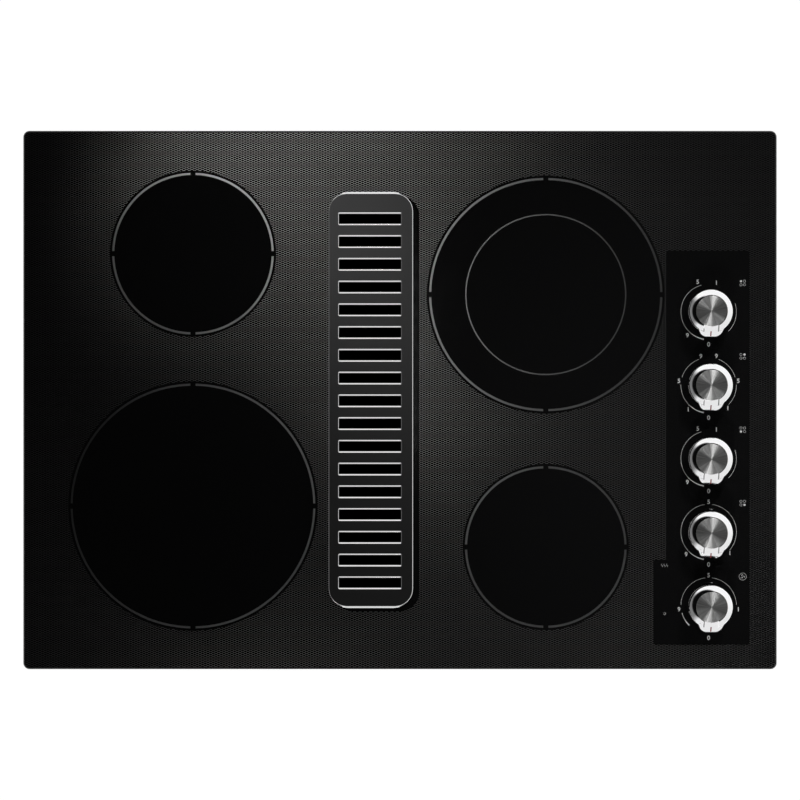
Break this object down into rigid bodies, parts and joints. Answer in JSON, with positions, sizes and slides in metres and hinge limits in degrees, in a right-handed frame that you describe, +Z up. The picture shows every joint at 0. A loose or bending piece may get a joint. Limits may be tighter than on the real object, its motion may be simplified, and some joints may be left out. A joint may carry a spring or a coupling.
{
  "type": "downdraft cooktop",
  "caption": "Drop-in black glass electric cooktop with a centre downdraft vent grille, side control knobs, burner box, plenum, blower and round duct collar below.",
  "frame": {"origin": "centre of the rim seal's underside, on the counter's top surface", "axes": "+X to the user's right, +Y to the back of the counter, +Z up"},
  "size_m": [0.7826, 0.5592, 0.49],
  "materials": {
    "black_glass": "black glass-ceramic, gloss, printed underside and top pattern",
    "seal_foam": "matt foam tape",
    "grey_silicone": "cured silicone",
    "galvanised_sheet": "galvanised, faint spangle",
    "zinc_screw": "zinc plated",
    "zinc_strap": "zinc plated strip",
    "black_sheet": "satin black",
    "grille_satin": "satin dark grey, polished edges",
    "black_rubber": "matt",
    "filter_aluminium": "expanded mesh",
    "plain_steel": "drawn",
    "motor_paint": "semi-gloss black",
    "capacitor_can": "drawn can",
    "ceramic_white": "matt",
    "fibre_board": "pressed mineral fibre",
    "heating_ribbon": "oxidised",
    "phenolic": "moulded",
    "cam_plastic": "moulded",
    "lamp_red": "translucent",
    "lead_jacket": "satin jacket",
    "knob_chrome": "bright",
    "knob_spun_metal": "spun brushed"
  },
  "bodies": {
    "cooktop": {"glass_top": "black_glass", "rim_seal": "seal_foam", "glass_bond": "grey_silicone", "burner_box": "galvanised_sheet", "sheet_screws": "zinc_screw", "vent_collar": "black_sheet", "vent_gasket": "seal_foam", "plenum": "galvanised_sheet", "blower_inlet_plate": "galvanised_sheet", "blower_scroll": "galvanised_sheet", "blower_motor_plate": "galvanised_sheet", "motor_can": "motor_paint", "motor_legs": "zinc_strap", "motor_grommets": "black_rubber", "motor_capacitor": "capacitor_can", "outlet_transition": "galvanised_sheet", "element_limiters": "ceramic_white", "element_support_bars": "galvanised_sheet", "element_springs": "plain_steel", "element_dishes": "plain_steel", "element_insulation": "fibre_board", "element_ribbons": "heating_ribbon", "switch_bracket": "galvanised_sheet", "switch_bodies": "phenolic", "switch_bases": "phenolic", "fan_control": "phenolic", "shaft_seals": "black_rubber", "indicator_lamps": "lamp_red", "junction_box": "galvanised_sheet", "junction_cover": "galvanised_sheet", "conduit_gland": "zinc_strap", "motor_lead": "lead_jacket", "clamp_brackets": "zinc_strap"},
    "filter": {"filter_frame": "filter_aluminium", "filter_mesh": "filter_aluminium"},
    "grille": {"vent_grille": "grille_satin", "grille_bumpers": "black_rubber"},
    "blower_rotor": {"blower_wheel": "black_sheet", "motor_shaft": "plain_steel"},
    "clamp_left": {"clamp_screw_left": "zinc_screw"},
    "clamp_right": {"clamp_screw_right": "zinc_screw"},
    "cam_right_front": {"switch_cam_right_front": "cam_plastic"},
    "cam_left_front": {"switch_cam_left_front": "cam_plastic"},
    "cam_right_rear": {"switch_cam_right_rear": "cam_plastic"},
    "cam_left_rear": {"switch_cam_left_rear": "cam_plastic"},
    "control_fan": {"knob_fan": "knob_chrome", "knob_cap_fan": "knob_spun_metal", "knob_shaft_fan": "plain_steel"},
    "control_right_front": {"knob_right_front": "knob_chrome", "knob_cap_right_front": "knob_spun_metal", "knob_shaft_right_front": "plain_steel"},
    "control_left_front": {"knob_left_front": "knob_chrome", "knob_cap_left_front": "knob_spun_metal", "knob_shaft_left_front": "plain_steel"},
    "control_right_rear": {"knob_right_rear": "knob_chrome", "knob_cap_right_rear": "knob_spun_metal", "knob_shaft_right_rear": "plain_steel"},
    "control_left_rear": {"knob_left_rear": "knob_chrome", "knob_cap_left_rear": "knob_spun_metal", "knob_shaft_left_rear": "plain_steel"}
  },
  "joints": [
    {"name": "turn_right_front", "type": "hinge", "parent": "cooktop", "child": "cam_right_front", "pos_m": [0.3205, -0.1371, 0], "axis": [0, 0, -1], "continuous": true},
    {"name": "push_right_front", "type": "slide", "parent": "cam_right_front", "child": "control_right_front", "axis": [0, 0, -1], "range_m": [0, 0.0025], "stiffness_N_per_m": 1200, "springref_m": -0.004},
    {"name": "turn_left_front", "type": "hinge", "parent": "cooktop", "child": "cam_left_front", "pos_m": [0.3205, -0.0609, 0], "axis": [0, 0, -1], "continuous": true},
    {"name": "push_left_front", "type": "slide", "parent": "cam_left_front", "child": "control_left_front", "axis": [0, 0, -1], "range_m": [0, 0.0025], "stiffness_N_per_m": 1200, "springref_m": -0.004},
    {"name": "turn_right_rear", "type": "hinge", "parent": "cooktop", "child": "cam_right_rear", "pos_m": [0.3205, 0.0153, 0], "axis": [0, 0, -1], "continuous": true},
    {"name": "push_right_rear", "type": "slide", "parent": "cam_right_rear", "child": "control_right_rear", "axis": [0, 0, -1], "range_m": [0, 0.0025], "stiffness_N_per_m": 1200, "springref_m": -0.004},
    {"name": "turn_left_rear", "type": "hinge", "parent": "cooktop", "child": "cam_left_rear", "pos_m": [0.3205, 0.0915, 0], "axis": [0, 0, -1], "continuous": true},
    {"name": "push_left_rear", "type": "slide", "parent": "cam_left_rear", "child": "control_left_rear", "axis": [0, 0, -1], "range_m": [0, 0.0025], "stiffness_N_per_m": 1200, "springref_m": -0.004},
    {"name": "turn_fan", "type": "hinge", "parent": "cooktop", "child": "control_fan", "pos_m": [0.3205, -0.2133, 0], "axis": [0, 0, -1], "range_deg": [0, 280]},
    {"name": "filter_lift", "type": "slide", "parent": "cooktop", "child": "filter", "axis": [0, 0, 1], "range_m": [0, 0.15]},
    {"name": "grille_lift", "type": "slide", "parent": "filter", "child": "grille", "axis": [0, 0, 1], "range_m": [0, 0.15]},
    {"name": "blower_spin", "type": "hinge", "parent": "cooktop", "child": "blower_rotor", "pos_m": [0.0601, 0, -0.222], "axis": [1, 0, 0], "continuous": true},
    {"name": "clamp_jack_left", "type": "slide", "parent": "cooktop", "child": "clamp_left", "axis": [0, 0, 1], "range_m": [-0.012, 0.02]},
    {"name": "clamp_jack_right", "type": "slide", "parent": "cooktop", "child": "clamp_right", "axis": [0, 0, 1], "range_m": [-0.012, 0.02]}
  ]
}
